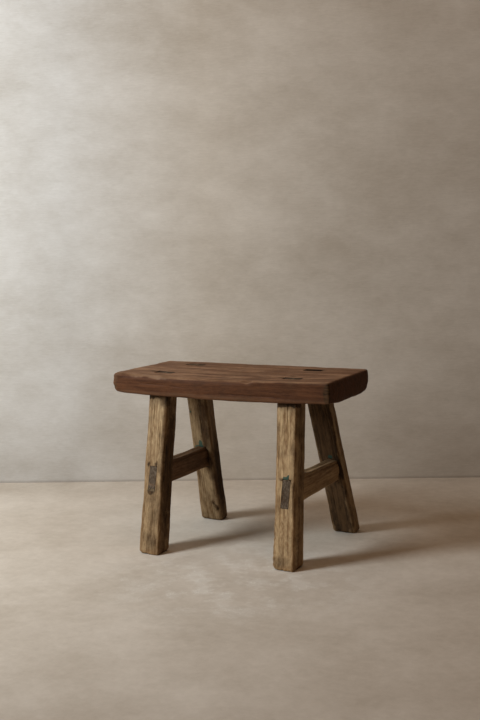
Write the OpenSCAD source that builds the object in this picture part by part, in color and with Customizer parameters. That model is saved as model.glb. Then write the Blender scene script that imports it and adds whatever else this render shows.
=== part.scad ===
// Low wooden stool: a plank seat on four splayed legs, each pair of legs tied by one stretcher.
// The legs pass through the seat as wedged tenons, and the stretchers pass through the legs.
// +X runs along the seat, the sitter faces -Y, and the origin is on the floor under the middle.

/* [Seat] */
// Length of the plank
seat_length = 404; // [360:1:440]
// Width of the plank
seat_width = 180; // [170:1:210]
// Thickness of the plank
seat_thickness = 34; // [28:1:44]
// Height of the top of the seat above the floor
seat_height = 300; // [260:1:340]
// How far the middle of the plank stands behind the middle of the feet
seat_shift = 3.8; // [0:0.2:8]
// How far the left end leans in towards its lower edge
left_end_lean = 2; // [0:0.5:5]
// Size of the eased edges of the plank
seat_easing = 4; // [1:0.5:6]

/* [Front left leg] */
// Where the foot stands, out from the middle in X and in Y
front_left_foot = [108.5, 124]; // [105:0.5:150]
// How much of that is gained between the seat and the floor
front_left_splay = [-15, 72]; // [-20:1:80]
// Width in X and depth in Y of the leg
front_left_section = [38, 37.5]; // [28:0.5:44]

/* [Front right leg] */
// Where the foot stands, out from the middle in X and in Y
front_right_foot = [141, 116]; // [105:0.5:150]
// How much of that is gained between the seat and the floor
front_right_splay = [19, 64.5]; // [-20:1:80]
// Width in X and depth in Y of the leg
front_right_section = [36.5, 40.5]; // [28:0.5:44]

/* [Back left leg] */
// Where the foot stands, out from the middle in X and in Y
back_left_foot = [122, 116.5]; // [105:0.5:150]
// How much of that is gained between the seat and the floor
back_left_splay = [2, 54.5]; // [-20:1:80]
// Width in X and depth in Y of the leg
back_left_section = [40.5, 31]; // [28:0.5:44]

/* [Back right leg] */
// Where the foot stands, out from the middle in X and in Y
back_right_foot = [142.5, 128.5]; // [105:0.5:150]
// How much of that is gained between the seat and the floor
back_right_splay = [23.5, 68]; // [-20:1:80]
// Width in X and depth in Y of the leg
back_right_section = [40.5, 29]; // [28:0.5:44]

/* [Leg details] */
// Size of the eased edges along each leg
leg_easing = 3.5; // [1:0.5:6]
// Width in X and thickness in Y of the tenon that passes through the seat
leg_tenon = [32, 16]; // [12:1:32]
// How far the tenon ends stop below the top of the seat
tenon_recess = 1.5; // [0.2:0.1:3]

/* [Stretchers] */
// Thickness of both stretchers
stretcher_thickness = 20; // [16:0.5:24]
// Thickness of their tenons
stretcher_tenon = 13.5; // [10:0.5:14]
// Size of the eased edges of the stretchers
stretcher_easing = 3; // [1:0.5:4]
// Where the left stretcher's middle plane stands in X, at the front legs and at the back legs
left_stretcher_x = [-115.5, -119.5]; // [-122:0.5:-112]
// Height of its top edge at the front legs and at the back legs
left_stretcher_top = [144, 145.5]; // [135:0.5:160]
// Height of its lower edge at the front legs and at the back legs
left_stretcher_bottom = [107.5, 108.5]; // [90:0.5:115]
// Where the right stretcher's middle plane stands in X, at the front legs and at the back legs
right_stretcher_x = [134.5, 139.5]; // [128:0.5:141]
// Height of its top edge at the front legs and at the back legs
right_stretcher_top = [141.5, 137.5]; // [125:0.5:160]
// Height of its lower edge at the front legs and at the back legs
right_stretcher_bottom = [96.5, 104.5]; // [85:0.5:110]

/* [Wedges] */
// Thickness of a seat wedge at its head and at its tip
seat_wedge = [4.5, 1.5]; // [1:0.5:6]
// How deep a seat wedge is driven
seat_wedge_depth = 26; // [18:1:28]
// Thickness of a stretcher wedge at its head and at its tip
stretcher_wedge = [5, 2.5]; // [2:0.5:9]

/* [Fit] */
// Gap left all round a tenon in its mortise
joint_gap = 0.2; // [0.1:0.05:0.4]

/* [Hidden] */

shoulder_z = seat_height - seat_thickness;
reach = 500;     // larger than the stool, for bars and cutters that are trimmed later
overlap = 6;     // how far a tenon runs down into its leg, to make them one piece
overrun = 10;    // how far a wedge or its slot runs on past the face it is trimmed at
tip_inset = 4;   // how far a stretcher wedge stops short of its leg's inner face

// One leg is [side in X, side in Y, foot, splay, section]
FRONT_LEFT = [-1, -1, front_left_foot, front_left_splay, front_left_section];
FRONT_RIGHT = [1, -1, front_right_foot, front_right_splay, front_right_section];
BACK_LEFT = [-1, 1, back_left_foot, back_left_splay, back_left_section];
BACK_RIGHT = [1, 1, back_right_foot, back_right_splay, back_right_section];
LEGS = [FRONT_LEFT, FRONT_RIGHT, BACK_LEFT, BACK_RIGHT];

// One stretcher is [X places, top heights, bottom heights, front leg, back leg]
LEFT = [left_stretcher_x, left_stretcher_top, left_stretcher_bottom, FRONT_LEFT, BACK_LEFT];
RIGHT = [right_stretcher_x, right_stretcher_top, right_stretcher_bottom, FRONT_RIGHT, BACK_RIGHT];

function foot_point(leg) = [leg[0] * leg[2].x, leg[1] * leg[2].y, 0];
function shoulder_point(leg) =
    [leg[0] * (leg[2].x - leg[3].x), leg[1] * (leg[2].y - leg[3].y), shoulder_z];

// Turn that swings a bar hanging along -Z from the shoulder point onto the foot point
function leg_turn(leg) =
    let (d = foot_point(leg) - shoulder_point(leg))
    [atan2(d.y, norm([d.x, d.z])), -atan2(d.x, -d.z), 0];

// Height above the floor, on the line from [y0, z0] to [y1, z1], at y
function slope_at(y0, z0, y1, z1, y) = z0 + (z1 - z0) * (y - y0) / (y1 - y0);

seat_colour = [0.36, 0.20, 0.14];
leg_colour = [0.60, 0.50, 0.36];
stretcher_colour = [0.33, 0.24, 0.17];
wedge_colour = [0.30, 0.27, 0.21];

module eased_rectangle(size, easing) {
    x = size.x / 2;
    y = size.y / 2;
    polygon([
        [x - easing, -y], [x, easing - y], [x, y - easing], [x - easing, y],
        [easing - x, y], [-x, y - easing], [-x, easing - y], [easing - x, -y]
    ]);
}

// Children drawn in a leg's own frame: origin at the shoulder, the leg hanging along -Z
module in_leg_frame(leg) {
    translate(shoulder_point(leg)) rotate(leg_turn(leg)) children();
}

// Everything on the outer side of one of a leg's Y faces, out from its middle by `out`
module beyond_leg_face(leg, out) {
    in_leg_frame(leg)
        translate([0, leg[1] * (out + reach / 2), 0])
            cube([reach, reach, 2 * reach], center = true);
}

module slab(bottom, top) {
    translate([-reach, -reach, bottom]) cube([2 * reach, 2 * reach, top - bottom]);
}

// The tenon on top of a leg, or with a gap the hole that takes it
module leg_tenon_bar(leg, gap) {
    in_leg_frame(leg)
        translate([-leg_tenon.x / 2 - gap, -leg_tenon.y / 2 - gap, -2 * overlap])
            cube([leg_tenon.x + 2 * gap, leg_tenon.y + 2 * gap, 2 * (seat_thickness + overlap)]);
}

// Plane-sided wedge across a leg's tenon, thick end up, still too long at its head
module seat_wedge_bar(leg) {
    head = seat_wedge[0] / 2;
    tip = seat_wedge[1] / 2;
    rise = seat_thickness / cos(leg_turn(leg).x);
    flare = (head - tip) / seat_wedge_depth;
    in_leg_frame(leg)
        translate([0, leg_tenon.y / 2, rise])
            rotate([90, 0, 0])
                linear_extrude(leg_tenon.y)
                    polygon([
                        [-tip, -seat_wedge_depth], [tip, -seat_wedge_depth],
                        [head + flare * overrun, overrun], [-head - flare * overrun, overrun]
                    ]);
}

// Y of a stretcher's two ends: at the feet of its front leg and of its back leg
function front_y(s) = -s[3][2].y;
function back_y(s) = s[4][2].y;

// Children drawn in a stretcher's own frame: its middle plane is X = 0, running along Y
module in_stretcher_frame(s) {
    turn = -atan2(s[0][1] - s[0][0], back_y(s) - front_y(s));
    translate([s[0][0], front_y(s), 0])
        rotate([0, 0, turn])
            translate([0, -front_y(s), 0]) children();
}

// Side outline of a stretcher in Y and Z, running out past both legs
module stretcher_outline(s, gap) {
    y0 = front_y(s);
    y1 = back_y(s);
    polygon([
        [-reach, slope_at(y0, s[2][0], y1, s[2][1], -reach) - gap],
        [reach, slope_at(y0, s[2][0], y1, s[2][1], reach) - gap],
        [reach, slope_at(y0, s[1][0], y1, s[1][1], reach) + gap],
        [-reach, slope_at(y0, s[1][0], y1, s[1][1], -reach) + gap]
    ]);
}

module stretcher_bar(s, thickness, gap) {
    in_stretcher_frame(s)
        translate([-thickness / 2 - gap, 0, 0])
            rotate([90, 0, 90])
                linear_extrude(thickness + 2 * gap) stretcher_outline(s, gap);
}

// The middle of a stretcher, with its four long edges eased
module stretcher_body(s) {
    y0 = front_y(s);
    y1 = back_y(s);
    bevel = stretcher_easing * sqrt(2);
    difference() {
        stretcher_bar(s, stretcher_thickness, 0);
        in_stretcher_frame(s)
            for (line = [s[1], s[2]], side = [-1, 1])
                translate([side * stretcher_thickness / 2, 0, slope_at(y0, line[0], y1, line[1], 0)])
                    rotate([atan2(line[1] - line[0], y1 - y0), 0, 0])
                        rotate([0, 45, 0])
                            cube([bevel, 2 * reach, bevel], center = true);
    }
}

// A stretcher shouldered against the inner faces of its legs, with a tenon through each
module stretcher(s) {
    color(stretcher_colour) {
        difference() {
            stretcher_body(s);
            for (leg = [s[3], s[4]]) beyond_leg_face(leg, -leg[4].y / 2);
        }
        difference() {
            stretcher_bar(s, stretcher_tenon, 0);
            for (leg = [s[3], s[4]]) beyond_leg_face(leg, leg[4].y / 2);
        }
    }
}

// Y of a leg's outer (out = 1) or inner (out = -1) face at height z
function leg_face_y(leg, z, out) =
    slope_at(0, foot_point(leg).y, shoulder_z, shoulder_point(leg).y, z)
    + leg[1] * out * leg[4].y / 2 / cos(leg_turn(leg).x);

// Wedge between the underside of a stretcher's tenon and its mortise, thick end outward
module stretcher_wedge_bar(s, leg, gap, tip_stop) {
    z = slope_at(front_y(s), s[2][0], back_y(s), s[2][1], leg_face_y(leg, s[2][0], 1));
    outer = leg_face_y(leg, z, 1);
    inner = leg_face_y(leg, z, -1) + leg[1] * tip_stop;
    flare = (stretcher_wedge[0] - stretcher_wedge[1]) / abs(outer - inner);
    width = stretcher_tenon + 2 * gap;
    head = outer + leg[1] * overrun;
    in_stretcher_frame(s)
        translate([-width / 2, 0, z])
            rotate([90, 0, 90])
                linear_extrude(width)
                    polygon([
                        [inner, 0], [head, 0],
                        [head, -stretcher_wedge[0] - flare * overrun - gap],
                        [inner, -stretcher_wedge[1] - gap]
                    ]);
}

module stretcher_wedge(s, leg) {
    color(wedge_colour)
        difference() {
            stretcher_wedge_bar(s, leg, 0, tip_inset);
            beyond_leg_face(leg, leg[4].y / 2);
        }
}

module seat_blank() {
    x = seat_length / 2;
    z = seat_thickness / 2;
    e = seat_easing;
    translate([0, seat_shift, seat_height - z])
        intersection() {
            rotate([90, 0, 90])
                linear_extrude(2 * reach, center = true) eased_rectangle([seat_width, seat_thickness], e);
            rotate([90, 0, 0])
                linear_extrude(2 * reach, center = true)
                    polygon([
                        [left_end_lean + e - x, -z], [x - e, -z], [x, e - z], [x, z - e],
                        [x - e, z], [e - x, z], [-x, z - e], [left_end_lean - x, e - z]
                    ]);
            linear_extrude(2 * reach, center = true) eased_rectangle([seat_length, seat_width], e);
        }
}

module seat() {
    color(seat_colour)
        difference() {
            seat_blank();
            for (leg = LEGS) leg_tenon_bar(leg, joint_gap);
        }
}

// A leg with its seat tenon, its mortise for the stretcher and the cut for its seat wedge
module leg(leg, s, wedged) {
    color(leg_colour)
        difference() {
            union() {
                intersection() {
                    in_leg_frame(leg)
                        translate([0, 0, -reach])
                            linear_extrude(2 * reach) eased_rectangle(leg[4], leg_easing);
                    slab(0, shoulder_z);
                }
                intersection() {
                    leg_tenon_bar(leg, 0);
                    slab(shoulder_z - overlap, seat_height - tenon_recess);
                }
            }
            stretcher_bar(s, stretcher_tenon, joint_gap);
            if (wedged) stretcher_wedge_bar(s, leg, joint_gap, -overrun);
            seat_wedge_bar(leg);
        }
}

module seat_wedge(leg) {
    color(wedge_colour)
        intersection() {
            seat_wedge_bar(leg);
            slab(shoulder_z, seat_height - tenon_recess);
        }
}

seat();
leg(FRONT_LEFT, LEFT, true);  // leg_front_left
leg(FRONT_RIGHT, RIGHT, false);  // leg_front_right
leg(BACK_LEFT, LEFT, true);  // leg_back_left
leg(BACK_RIGHT, RIGHT, false);  // leg_back_right
stretcher(LEFT);  // stretcher_left
stretcher(RIGHT);  // stretcher_right
seat_wedge(FRONT_LEFT);  // seat_wedge_front_left
seat_wedge(FRONT_RIGHT);  // seat_wedge_front_right
seat_wedge(BACK_LEFT);  // seat_wedge_back_left
seat_wedge(BACK_RIGHT);  // seat_wedge_back_right
stretcher_wedge(LEFT, FRONT_LEFT);  // stretcher_wedge_front_left
stretcher_wedge(LEFT, BACK_LEFT);  // stretcher_wedge_back_left
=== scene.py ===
"""Old plank stool: a worn seat on four splayed legs, tied in pairs by stretchers, in a studio."""
import math

import bmesh
import bpy
from bpy.props import FloatProperty, FloatVectorProperty, PointerProperty
from mathutils import Matrix, Vector, noise


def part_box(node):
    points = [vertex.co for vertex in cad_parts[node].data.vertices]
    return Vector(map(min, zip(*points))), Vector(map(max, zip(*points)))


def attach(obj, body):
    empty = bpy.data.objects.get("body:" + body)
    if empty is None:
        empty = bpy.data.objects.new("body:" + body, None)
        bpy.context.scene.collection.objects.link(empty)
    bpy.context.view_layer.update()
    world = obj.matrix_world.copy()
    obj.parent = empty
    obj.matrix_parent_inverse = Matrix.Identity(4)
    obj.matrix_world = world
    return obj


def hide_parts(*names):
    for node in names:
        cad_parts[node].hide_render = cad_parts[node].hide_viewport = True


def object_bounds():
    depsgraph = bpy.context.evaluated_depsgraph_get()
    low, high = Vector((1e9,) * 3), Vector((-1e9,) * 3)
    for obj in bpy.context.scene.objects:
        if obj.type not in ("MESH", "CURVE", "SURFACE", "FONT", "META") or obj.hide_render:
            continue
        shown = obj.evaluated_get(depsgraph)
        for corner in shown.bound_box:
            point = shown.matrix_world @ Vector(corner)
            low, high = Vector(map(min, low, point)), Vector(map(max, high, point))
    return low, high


bl_info = {
    "name": "Old Plank Stool",
    "version": (1, 0, 0),
    "blender": (4, 5, 0),
    "location": "View3D > Sidebar > Stool",
    "description": "Builds a worn plank stool with wedged joints, and a plain studio around it",
    "category": "Add Mesh",
}

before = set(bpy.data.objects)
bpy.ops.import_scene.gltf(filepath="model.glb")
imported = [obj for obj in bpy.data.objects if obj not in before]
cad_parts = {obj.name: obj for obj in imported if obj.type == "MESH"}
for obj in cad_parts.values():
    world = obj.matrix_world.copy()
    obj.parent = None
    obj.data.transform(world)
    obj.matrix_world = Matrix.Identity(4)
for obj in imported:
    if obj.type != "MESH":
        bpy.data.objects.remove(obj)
CAD_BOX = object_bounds()
noise.seed_set(5)  # a fixed start, so that every run gives the same stool

MM = 0.001
FLOOR = CAD_BOX[0].z
SEAT_LOW, SEAT_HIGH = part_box("seat")
SEAT_MIDDLE = (SEAT_LOW + SEAT_HIGH) / 2
SEAT_HALF = (SEAT_HIGH - SEAT_LOW) / 2
UP = Vector((0, 0, 1))
LEGS = ("front_left", "front_right", "back_left", "back_right")
SIDES = ("left", "right")

# How far each leg's tenon ends below the seat top, in millimetres
TENON_DEPTHS = {"front_left": 0.9, "front_right": 1.2, "back_left": 0.5, "back_right": 2.8}

# How light each leg's wood is
LEG_TONES = {"front_left": 1.0, "front_right": 1.25, "back_left": 0.70, "back_right": 0.95}

# Chips and hollows: where (mm, in the piece's own frame), how far they reach, and how deep they go
DENTS = {
    "seat": [
        ((56, -90, 17), (13, 9, 9), 2.4),
        ((-120, -90, 17), (16, 7, 6), 1.2),
        ((-202, -60, -17), (7, 26, 8), 2.2),
        ((-202, 38, 17), (6, 18, 7), 1.6),
        ((120, 90, 17), (24, 6, 6), 1.4),
        ((-20, 90, 17), (34, 7, 6), 1.6),
        ((-60, -90, -17), (26, 6, 6), 1.2),
        ((0, -5, 17), (120, 60, 12), 0.9),
    ],
    "front_left": [
        ((-19, -19, -70), (5, 5, 16), 0.9),
        ((19, -19, -228), (5, 5, 12), 1.2),
        ((-18, -19, -276), (6, 6, 6), 1.8),
    ],
    "front_right": [
        ((-18, -20, -60), (5, 5, 22), 1.1),
        ((18, -20, -150), (4, 5, 14), 0.9),
        ((-15, -20, -272), (8, 7, 5), 1.8),
    ],
    "back_left": [
        ((20, -15, -250), (9, 8, 9), 3.2),
        ((14, -15, -240), (6, 3, 3), 1.6),
        ((-20, -15, -96), (5, 5, 20), 1.0),
        ((-13, -15, -272), (8, 6, 5), 1.4),
    ],
    "back_right": [
        ((16, -15, -188), (5, 4, 6), 1.4),
        ((-19, -15, -264), (6, 6, 9), 2.0),
        ((19, -15, -272), (6, 6, 6), 2.0),
    ],
    "left": [
        ((10, -30, 18), (4, 24, 5), 1.2),
        ((-10, 20, 18), (4, 30, 5), 1.0),
    ],
    "right": [
        ((10, 88, 20), (9, 16, 18), 5.0),
        ((10, 88, -14), (8, 14, 12), 4.0),
        ((10, -28, 20), (5, 30, 5), 1.6),
        ((-10, 0, 20), (5, 40, 6), 1.4),
    ],
}

# Splits along the grain: where one starts and ends (mm), how wide and how deep it is
SPLITS = {
    "seat": [
        ((-202, -34, 17), (-150, -36, 17), 0.9, 1.6),
        ((202, 22, 17), (138, 25, 17), 0.9, 1.8),
        ((58, -84, 17), (74, -84, 17), 1.0, 1.6),
        ((-202, 12, 17), (-202, 14, -17), 0.9, 1.4),
        ((-150, -90, 3), (-60, -90, 1), 0.8, 0.8),
        ((20, -90, -6), (130, -90, -8), 0.8, 0.9),
    ],
    "front_left": [
        ((-4, -18.75, -10), (-6, -18.75, -92), 0.9, 1.2),
        ((5, -18.75, -196), (4, -18.75, -262), 0.9, 1.2),
        ((-12, -18.75, -180), (-11, -18.75, -236), 0.8, 0.9),
        ((10, -18.75, -46), (9, -18.75, -118), 0.8, 0.9),
    ],
    "front_right": [
        ((4, -20.25, -14), (5, -20.25, -84), 0.9, 1.2),
        ((-6, -20.25, -176), (-7, -20.25, -240), 0.9, 1.1),
        ((-10, -20.25, -40), (-11, -20.25, -112), 0.8, 0.9),
    ],
    "back_left": [
        ((4, -15.5, -40), (6, -15.5, -104), 0.9, 1.3),
        ((9, -15.5, -236), (20, -15.5, -247), 1.3, 2.4),
        ((-8, -15.5, -180), (-6, -15.5, -250), 0.9, 1.1),
    ],
    "back_right": [
        ((13, -14.5, -30), (15, -14.5, -118), 1.0, 1.6),
        ((20.25, 4, -60), (20.25, 3, -150), 0.9, 1.0),
        ((-6, -14.5, -160), (-4, -14.5, -230), 0.9, 1.1),
    ],
    "left": [((10, -60, -4), (10, 40, -6), 0.8, 1.0)],
    "right": [((10, -60, 2), (10, 30, 0), 0.8, 1.0)],
}

# Dark stains, and painted shade where parts lie in shadow: where (mm, in the piece's own frame), how far
# they reach, and how strong
STAINS_AND_PAINTED_SHADE = {
    "seat": [
        ((95, -38, 17), (9, 8, 6), 1.6),
        ((108, -24, 17), (22, 5, 6), 0.9),
        ((118, 46, 17), (28, 15, 6), 1.2),
        ((-153, -39, 17), (7, 9, 6), 1.5),
        ((-143, -30, 17), (5, 7, 6), 1.3),
        ((-112, -44, 17), (14, 6, 6), 0.9),
        ((-129, 48, 17), (8, 9, 6), 1.4),
        ((-104, 42, 17), (22, 5, 6), 0.6),
        ((67, -84, 17), (9, 6, 5), 1.2),
        ((150, -44, 17), (20, 9, 5), 0.6),
        # painted shade: a dark line down the front's right corner, where the lit front turns into the
        # shaded end
        ((202, -90, -4), (9, 8, 30), 2.8),
        ((-202, -88, -8), (5, 6, 16), 1.0),
    ],
    "front_left": [
        # painted shade: a dark band at the top of the front, in the seat's shadow
        ((0, -18, -10), (60, 16, 7), 2.4),
        ((14, -18, -18), (14, 20, 20), 1.3),
        # painted shade: the whole right side darkened, as it lies in shade
        ((19, 2, -150), (7, 30, 210), 1.5),
        ((-8, -18, -128), (5, 5, 7), 1.3),
        ((7, -18, -128), (5, 5, 7), 1.2),
        ((0, -18, -175), (12, 6, 7), 1.5),
        ((6, -18, -216), (20, 10, 70), 0.5),
        ((14, -18, -100), (9, 10, 110), 0.5),
        ((-16, -18, -60), (7, 9, 50), 0.4),
        ((2, -18, -262), (26, 14, 18), 0.4),
    ],
    "front_right": [
        # painted shade: a dark band at the top of the front, in the seat's shadow
        ((0, -20, -12), (60, 26, 5), 3.0),
        # painted shade: the right side darkened, high and low, as it lies in shade
        ((18, 2, -60), (7, 30, 120), 0.6),
        ((18, 2, -200), (7, 30, 120), 0.6),
        ((0, -20, -133), (12, 5, 4), 1.2),
        ((8, -20, -132), (5, 5, 6), 1.5),
        ((-17, -20, -60), (5, 10, 80), 0.7),
        ((-17, -20, -230), (5, 10, 60), 0.7),
        ((16, -20, -110), (6, 10, 150), 0.55),
        ((-4, -20, -266), (24, 12, 14), 0.7),
    ],
    "back_left": [
        # dark staining at the stretcher's end, with painted shadow of the stretcher below it
        ((11, -15, -147), (12, 9, 28), 1.9),
        # darker on the right of the front above the stretcher
        ((11, -15, -70), (15, 9, 100), 1.1),
        ((6, -15, -100), (9, 7, 34), 0.6),
        # painted shade: a darker band at the top of the front, in the seat's shadow
        ((-2, -15, -16), (30, 9, 20), 0.7),
        ((15, -15, -243), (9, 5, 5), 1.5),
        ((11, -15, -232), (5, 5, 9), 1.0),
        ((-15, -15, -51), (5, 5, 8), 1.1),
        ((16, -15, -200), (9, 8, 60), 0.8),
        # painted shade: the right side darkened, as it lies in shade
        ((21, 2, -190), (7, 26, 130), 1.4),
    ],
    "back_right": [
        # painted shade: the whole front darkened in three spans, as it lies in the shadow of the front
        # left leg and the seat
        ((-2, -15, -40), (40, 13, 120), 1.25),
        ((-2, -15, -150), (40, 13, 110), 0.95),
        ((-2, -15, -240), (40, 13, 90), 1.2),
        ((4, -15, -256), (15, 8, 16), 0.8),
        ((-10, -15, -240), (8, 8, 10), 0.7),
        ((14, -15, -112), (12, 9, 26), 1.0),
        ((21, -15, -148), (8, 9, 36), 1.2),
        ((15, -15, -188), (10, 8, 14), 0.8),
        ((17, -15, -54), (9, 8, 70), 0.6),
    ],
    "left": [
        ((9, 84, 0), (9, 26, 34), 1.5),
        ((-3, -112, 15), (9, 9, 7), 1.0),
        ((3, -112, 2), (6, 9, 9), 0.8),
        ((-6, -112, 0), (2, 9, 16), 1.0),
        ((6, -112, -2), (2, 9, 16), 1.0),
    ],
    "right": [
        ((9, 92, 4), (10, 12, 26), 1.0),
        ((3, -112, 4), (4, 9, 14), 0.9),
        ((-5, -112, -10), (4, 9, 10), 0.7),
        ((-6, -112, 0), (2, 9, 22), 0.8),
    ],
}

# Pale rubs, with painted highlights along the seat's front edge, in the same form
RUBS_AND_HIGHLIGHTS = {
    "seat": [
        # on the seat: the worn front edge and its left corner, made paler still as a painted highlight
        ((-125, -86, 14), (95, 9, 7), 1.3),
        ((-200, -84, 8), (7, 12, 14), 1.0),
        ((60, -86, 17), (60, 8, 5), 0.7),
    ],
    "left": [((0, -112, -12), (9, 9, 4), 2.6)],
}

# Old paint, in the same form
PAINT = {
    "seat": [((-129, 47, 17), (5, 6, 6), 0.7)],
    "front_right": [((1, -20, -131), (10, 4, 3), 1.5), ((8, -20, -129), (3, 4, 6), 1.5)],
    "back_left": [
        ((-5, -15, -126), (15, 7, 11), 3.2),
        ((-2, -15, -116), (5, 7, 12), 1.9),
        ((-15, -15, -51), (4, 5, 7), 1.0),
    ],
    "back_right": [((5, -15, -123), (8, 5, 5), 1.4)],
    "left": [((-5, 78, 18), (10, 18, 7), 2.4)],
    "right": [((-2, 84, 20), (9, 6, 5), 0.9)],
}

# How far the top of each stretcher slopes down towards +X, on each side of its middle, in millimetres
SLOPES = {"left": 2.7, "right": 3.5, "tenon": 0.0}


class StoolWood(bpy.types.PropertyGroup):
    """Sizes and colours of the stool's wood."""

    grid: FloatProperty(
        name="Grid", description="Size of a mesh cell across the grain",
        default=1.2 * MM, min=0.8 * MM, max=4 * MM, unit="LENGTH", precision=5)
    seat_easing: FloatProperty(
        name="Seat edges", description="Radius worn onto the plank's edges",
        default=3.4 * MM, min=1 * MM, max=8 * MM, unit="LENGTH", precision=5)
    handled_easing: FloatProperty(
        name="Handled edge", description="Radius of the seat's front edge where hands have worn it",
        default=9.5 * MM, min=2 * MM, max=14 * MM, unit="LENGTH", precision=5)
    leg_easing: FloatProperty(
        name="Leg edges", description="Radius worn onto the edges of the legs",
        default=3.8 * MM, min=1 * MM, max=8 * MM, unit="LENGTH", precision=5)
    stretcher_easing: FloatProperty(
        name="Stretcher edges", description="Radius worn onto the edges of the stretchers",
        default=3.4 * MM, min=1 * MM, max=6 * MM, unit="LENGTH", precision=5)
    sag: FloatProperty(
        name="Sag", description="How far the front edge has sunk at its middle",
        default=3.6 * MM, min=0, max=6 * MM, unit="LENGTH", precision=5)
    relief: FloatProperty(
        name="Grain relief", description="Height of the weathered ridges of the grain",
        default=0.28 * MM, min=0, max=1 * MM, unit="LENGTH", precision=5)
    gap: FloatProperty(
        name="Joint gap", description="Gap round the tenon ends",
        default=0.5 * MM, min=0.1 * MM, max=1.5 * MM, unit="LENGTH", precision=5)
    seat_pale: FloatVectorProperty(
        name="Seat, pale", description="Pale streaks of the seat",
        default=(0.135, 0.050, 0.018), subtype="COLOR", min=0, max=1)
    seat_dark: FloatVectorProperty(
        name="Seat, dark", description="Dark grain of the seat",
        default=(0.070, 0.024, 0.0085), subtype="COLOR", min=0, max=1)
    seat_top: FloatVectorProperty(
        name="Seat, dusty", description="Dust and wear on the top of the seat",
        default=(0.26, 0.145, 0.078), subtype="COLOR", min=0, max=1)
    leg_pale: FloatVectorProperty(
        name="Legs, pale", description="Pale streaks of the legs",
        default=(0.50, 0.345, 0.185), subtype="COLOR", min=0, max=1)
    leg_dark: FloatVectorProperty(
        name="Legs, dark", description="Dark grain of the legs",
        default=(0.16, 0.083, 0.032), subtype="COLOR", min=0, max=1)
    # the left stretcher's colours are set well below the right one's as painted shade, since its seen side
    # lies in shade
    left_pale_shaded: FloatVectorProperty(
        name="Left stretcher, pale", description="Pale streaks of the left stretcher",
        default=(0.20, 0.108, 0.052), subtype="COLOR", min=0, max=1)
    left_dark_shaded: FloatVectorProperty(
        name="Left stretcher, dark", description="Dark grain of the left stretcher",
        default=(0.075, 0.036, 0.0145), subtype="COLOR", min=0, max=1)
    right_pale: FloatVectorProperty(
        name="Right stretcher, pale", description="Pale streaks of the right stretcher",
        default=(0.50, 0.33, 0.175), subtype="COLOR", min=0, max=1)
    right_dark: FloatVectorProperty(
        name="Right stretcher, dark", description="Dark grain of the right stretcher",
        default=(0.22, 0.125, 0.055), subtype="COLOR", min=0, max=1)
    tenon_end: FloatVectorProperty(
        name="Tenon ends", description="Dark end grain of the stretchers' tenons",
        default=(0.115, 0.083, 0.055), subtype="COLOR", min=0, max=1)
    paint: FloatVectorProperty(
        name="Old paint", description="Green paint left in the joints",
        default=(0.034, 0.080, 0.058), subtype="COLOR", min=0, max=1)


class StoolStudio(bpy.types.PropertyGroup):
    """The studio round the stool."""

    azimuth: FloatProperty(
        name="Azimuth", description="How far round to the right the camera stands",
        default=math.radians(27.78), subtype="ANGLE")
    elevation: FloatProperty(
        name="Elevation", description="How far the camera looks down",
        default=math.radians(6.95), subtype="ANGLE")
    roll: FloatProperty(
        name="Roll", description="How far the camera leans",
        default=math.radians(-1.27), subtype="ANGLE")
    distance: FloatProperty(
        name="Distance", description="From the camera to the point it looks at",
        default=2.015, min=0.5, max=6, unit="LENGTH")
    aim_height: FloatProperty(
        name="Aim", description="Height of the point the camera looks at, above the seat top",
        default=0.0188, unit="LENGTH")
    lens: FloatProperty(
        name="Lens", description="Focal length in millimetres",
        default=58.3, min=20, max=200)
    key_power: FloatProperty(
        name="Key light", description="Power of the large soft light at the front left",
        default=23.0, min=0, max=500, unit="POWER")
    back_power: FloatProperty(
        name="Back light", description="Power of the weak light behind the stool",
        default=1.0, min=0, max=500, unit="POWER")
    fill_power: FloatProperty(
        name="Fill light", description="Power of the wide warm light overhead",
        default=8.3, min=0, max=500, unit="POWER")
    ambient: FloatProperty(
        name="Ambient", description="Strength of the even light from all round",
        default=0.013, min=0, max=2)
    plaster: FloatVectorProperty(
        name="Plaster", description="Colour of the floor and the backdrop",
        default=(0.60, 0.535, 0.455), subtype="COLOR", min=0, max=1)
    wall_distance: FloatProperty(
        name="Backdrop", description="From the middle of the stool to the backdrop",
        default=0.473, min=0.3, max=3, unit="LENGTH")
    wall_turn: FloatProperty(
        name="Backdrop turn", description="How far the backdrop is turned from the seat's length",
        default=math.radians(25.1), subtype="ANGLE")


# ---------------------------------------------------------------- shaping the wood


def smooth(low, high, value):
    """0 below low, 1 above high, and an even curve between them."""
    t = min(1.0, max(0.0, (value - low) / (high - low)))
    return t * t * (3 - 2 * t)


def block(size, cells):
    """A closed box on the origin with its sides cut into a grid."""
    bm = bmesh.new()
    bmesh.ops.create_cube(bm, size=1.0)
    bmesh.ops.scale(bm, vec=size, verts=bm.verts)
    for axis in range(3):
        along = [e for e in bm.edges if abs(e.verts[0].co[axis] - e.verts[1].co[axis]) > size[axis] / 2]
        if cells[axis] > 1:
            bmesh.ops.subdivide_edges(bm, edges=along, cuts=cells[axis] - 1, use_grid_fill=True)
    return bm


def timber(size, grain, grid):
    """A block with cells of about one grid across the grain and two along it."""
    pitches = [2 * grid if axis == grain else grid for axis in range(3)]
    return block(size, [max(2, round(side / pitch)) for side, pitch in zip(size, pitches)])


def eased(p, half, radius):
    """Where a point on a box lies once its edges are rounded, and its outward direction there."""
    core = Vector([max(radius - h, min(h - radius, c)) for c, h in zip(p, half)])
    out = p - core
    out.normalize()
    return core + out * radius, out


def stretched(p, grain, pitch):
    """A point scaled so that a noise of that pitch runs long along the grain."""
    q = p / pitch
    q[grain] *= 0.05
    return q


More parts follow.
